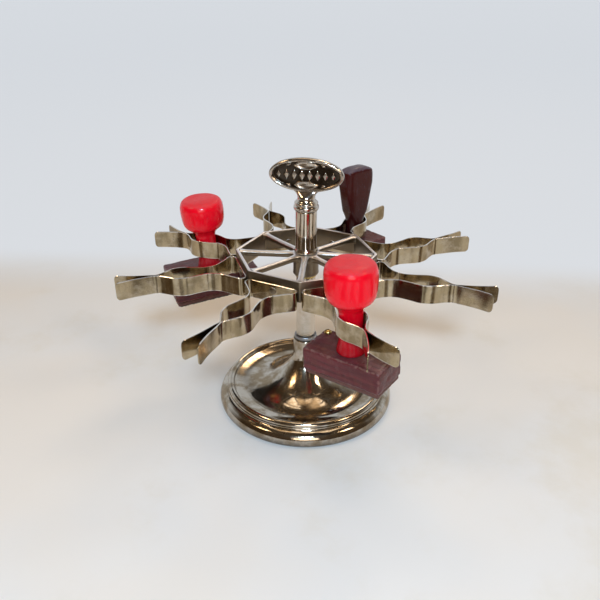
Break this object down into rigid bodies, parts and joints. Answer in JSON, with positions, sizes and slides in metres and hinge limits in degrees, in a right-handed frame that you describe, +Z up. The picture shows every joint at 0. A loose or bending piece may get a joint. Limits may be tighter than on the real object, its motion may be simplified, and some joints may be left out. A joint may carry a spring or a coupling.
{
  "type": "revolving stamp rack",
  "caption": "Revolving desk rack: a bell-shaped base and post carry an octagonal wheel of sprung clips that grip hand stamps by the neck, with an oval handle on top.",
  "frame": {"origin": "on the post's axis, on the surface that the base stands on", "axes": "+Z up the post; +X and +Y lie under two corners of the wheel, and -Y is the side that is looked at"},
  "size_m": [0.202, 0.1978, 0.1502],
  "materials": {
    "polished_nickel": "polished nickel plate, worn to a warm tint",
    "satin_nickel": "satin nickel plate with fine rubbing marks",
    "cast_nickel": "bright cast metal, nickel plated",
    "spring_steel": "aged nickel plated spring strip, olive brown",
    "dark_steel": "dull darkened steel",
    "red_lacquer": "bright red lacquered wood, worn matt on top",
    "dark_lacquer": "dark brown red lacquered wood",
    "maroon_wood": "maroon stained wood, scuffed",
    "sponge_rubber": "dark sponge rubber backing under a stamp's die",
    "rubber": "black moulded rubber",
    "brass": "dull brass"
  },
  "bodies": {
    "stand": {"base_casting": "polished_nickel", "base_washer": "dark_steel", "base_nut": "dark_steel", "collar_ring": "dark_steel", "post_tube": "satin_nickel", "tie_rod": "dark_steel", "hub_washer": "brass", "upper_sleeve": "satin_nickel", "handle_casting": "polished_nickel"},
    "carousel": {"wheel_casting": "cast_nickel", "clip_1_back": "spring_steel", "clip_1_rivet": "cast_nickel", "clip_2_back": "spring_steel", "clip_2_rivet": "cast_nickel", "clip_3_back": "spring_steel", "clip_3_rivet": "cast_nickel", "clip_4_back": "spring_steel", "clip_4_rivet": "cast_nickel", "clip_5_back": "spring_steel", "clip_5_rivet": "cast_nickel", "clip_6_back": "spring_steel", "clip_6_rivet": "cast_nickel", "clip_7_back": "spring_steel", "clip_7_rivet": "cast_nickel", "clip_8_back": "spring_steel", "clip_8_rivet": "cast_nickel"},
    "clip_1_left": {"clip_1_left_leg": "spring_steel"},
    "clip_1_right": {"clip_1_right_leg": "spring_steel"},
    "clip_2_left": {"clip_2_left_leg": "spring_steel"},
    "clip_2_right": {"clip_2_right_leg": "spring_steel"},
    "clip_3_left": {"clip_3_left_leg": "spring_steel"},
    "clip_3_right": {"clip_3_right_leg": "spring_steel"},
    "clip_4_left": {"clip_4_left_leg": "spring_steel"},
    "clip_4_right": {"clip_4_right_leg": "spring_steel"},
    "clip_5_left": {"clip_5_left_leg": "spring_steel"},
    "clip_5_right": {"clip_5_right_leg": "spring_steel"},
    "clip_6_left": {"clip_6_left_leg": "spring_steel"},
    "clip_6_right": {"clip_6_right_leg": "spring_steel"},
    "clip_7_left": {"clip_7_left_leg": "spring_steel"},
    "clip_7_right": {"clip_7_right_leg": "spring_steel"},
    "clip_8_left": {"clip_8_left_leg": "spring_steel"},
    "clip_8_right": {"clip_8_right_leg": "spring_steel"},
    "stamp_1": {"stamp_1_handle": "red_lacquer", "stamp_1_block": "maroon_wood", "stamp_1_backing": "sponge_rubber", "stamp_1_die": "rubber", "stamp_1_tack": "brass"},
    "stamp_2": {"stamp_2_handle": "red_lacquer", "stamp_2_block": "maroon_wood", "stamp_2_backing": "sponge_rubber", "stamp_2_die": "rubber"},
    "stamp_3": {"stamp_3_handle": "dark_lacquer", "stamp_3_block": "maroon_wood", "stamp_3_backing": "sponge_rubber", "stamp_3_die": "rubber"}
  },
  "joints": [
    {"name": "wheel_spin", "type": "hinge", "parent": "stand", "child": "carousel", "pos_m": [0, 0, 0.09], "axis": [0, 0, 1], "continuous": true},
    {"name": "clip_1_left_flex", "type": "hinge", "parent": "carousel", "child": "clip_1_left", "pos_m": [0.03226, 0.02678, 0.0878], "axis": [0, 0, 1], "range_deg": [0, 9], "stiffness_Nm_per_rad": 0.5},
    {"name": "clip_1_right_flex", "type": "hinge", "parent": "carousel", "child": "clip_1_right", "pos_m": [0.04175, 0.00387, 0.0878], "axis": [0, 0, -1], "range_deg": [0, 9], "stiffness_Nm_per_rad": 0.5},
    {"name": "clip_2_left_flex", "type": "hinge", "parent": "carousel", "child": "clip_2_left", "pos_m": [0.00387, 0.04175, 0.0878], "axis": [0, 0, 1], "range_deg": [0, 14], "stiffness_Nm_per_rad": 0.5},
    {"name": "clip_2_right_flex", "type": "hinge", "parent": "carousel", "child": "clip_2_right", "pos_m": [0.02678, 0.03226, 0.0878], "axis": [0, 0, -1], "range_deg": [0, 14], "stiffness_Nm_per_rad": 0.5},
    {"name": "clip_3_left_flex", "type": "hinge", "parent": "carousel", "child": "clip_3_left", "pos_m": [-0.02678, 0.03226, 0.0878], "axis": [0, 0, 1], "range_deg": [0, 9], "stiffness_Nm_per_rad": 0.5},
    {"name": "clip_3_right_flex", "type": "hinge", "parent": "carousel", "child": "clip_3_right", "pos_m": [-0.00387, 0.04175, 0.0878], "axis": [0, 0, -1], "range_deg": [0, 9], "stiffness_Nm_per_rad": 0.5},
    {"name": "clip_4_left_flex", "type": "hinge", "parent": "carousel", "child": "clip_4_left", "pos_m": [-0.04175, 0.00387, 0.0878], "axis": [0, 0, 1], "range_deg": [0, 16.6], "stiffness_Nm_per_rad": 0.5},
    {"name": "clip_4_right_flex", "type": "hinge", "parent": "carousel", "child": "clip_4_right", "pos_m": [-0.03226, 0.02678, 0.0878], "axis": [0, 0, -1], "range_deg": [0, 16.6], "stiffness_Nm_per_rad": 0.5},
    {"name": "clip_5_left_flex", "type": "hinge", "parent": "carousel", "child": "clip_5_left", "pos_m": [-0.03226, -0.02678, 0.0878], "axis": [0, 0, 1], "range_deg": [0, 9], "stiffness_Nm_per_rad": 0.5},
    {"name": "clip_5_right_flex", "type": "hinge", "parent": "carousel", "child": "clip_5_right", "pos_m": [-0.04175, -0.00387, 0.0878], "axis": [0, 0, -1], "range_deg": [0, 9], "stiffness_Nm_per_rad": 0.5},
    {"name": "clip_6_left_flex", "type": "hinge", "parent": "carousel", "child": "clip_6_left", "pos_m": [-0.00387, -0.04175, 0.0878], "axis": [0, 0, 1], "range_deg": [0, 9], "stiffness_Nm_per_rad": 0.5},
    {"name": "clip_6_right_flex", "type": "hinge", "parent": "carousel", "child": "clip_6_right", "pos_m": [-0.02678, -0.03226, 0.0878], "axis": [0, 0, -1], "range_deg": [0, 9], "stiffness_Nm_per_rad": 0.5},
    {"name": "clip_7_left_flex", "type": "hinge", "parent": "carousel", "child": "clip_7_left", "pos_m": [0.02678, -0.03226, 0.0878], "axis": [0, 0, 1], "range_deg": [0, 14], "stiffness_Nm_per_rad": 0.5},
    {"name": "clip_7_right_flex", "type": "hinge", "parent": "carousel", "child": "clip_7_right", "pos_m": [0.00387, -0.04175, 0.0878], "axis": [0, 0, -1], "range_deg": [0, 14], "stiffness_Nm_per_rad": 0.5},
    {"name": "clip_8_left_flex", "type": "hinge", "parent": "carousel", "child": "clip_8_left", "pos_m": [0.04175, -0.00387, 0.0878], "axis": [0, 0, 1], "range_deg": [0, 9], "stiffness_Nm_per_rad": 0.5},
    {"name": "clip_8_right_flex", "type": "hinge", "parent": "carousel", "child": "clip_8_right", "pos_m": [0.03226, -0.02678, 0.0878], "axis": [0, 0, -1], "range_deg": [0, 9], "stiffness_Nm_per_rad": 0.5},
    {"name": "stamp_1_pull", "type": "slide", "parent": "carousel", "child": "stamp_1", "axis": [0.4067, -0.9135, 0], "range_m": [0, 0.024]},
    {"name": "stamp_2_pull", "type": "slide", "parent": "carousel", "child": "stamp_2", "axis": [-0.9239, 0.3827, 0], "range_m": [0, 0.024]},
    {"name": "stamp_3_pull", "type": "slide", "parent": "carousel", "child": "stamp_3", "axis": [0.3987, 0.9171, 0], "range_m": [0, 0.024]}
  ],
  "couplings": [
    {"joint": "clip_1_right_flex", "follows": "clip_1_left_flex", "ratio": 1},
    {"joint": "clip_2_left_flex", "follows": "stamp_3_pull", "rad_per_m": 10},
    {"joint": "clip_2_right_flex", "follows": "stamp_3_pull", "rad_per_m": 10},
    {"joint": "clip_3_right_flex", "follows": "clip_3_left_flex", "ratio": 1},
    {"joint": "clip_4_left_flex", "follows": "stamp_2_pull", "rad_per_m": 12},
    {"joint": "clip_4_right_flex", "follows": "stamp_2_pull", "rad_per_m": 12},
    {"joint": "clip_5_right_flex", "follows": "clip_5_left_flex", "ratio": 1},
    {"joint": "clip_6_right_flex", "follows": "clip_6_left_flex", "ratio": 1},
    {"joint": "clip_7_left_flex", "follows": "stamp_1_pull", "rad_per_m": 10},
    {"joint": "clip_7_right_flex", "follows": "stamp_1_pull", "rad_per_m": 10},
    {"joint": "clip_8_right_flex", "follows": "clip_8_left_flex", "ratio": 1}
  ]
}
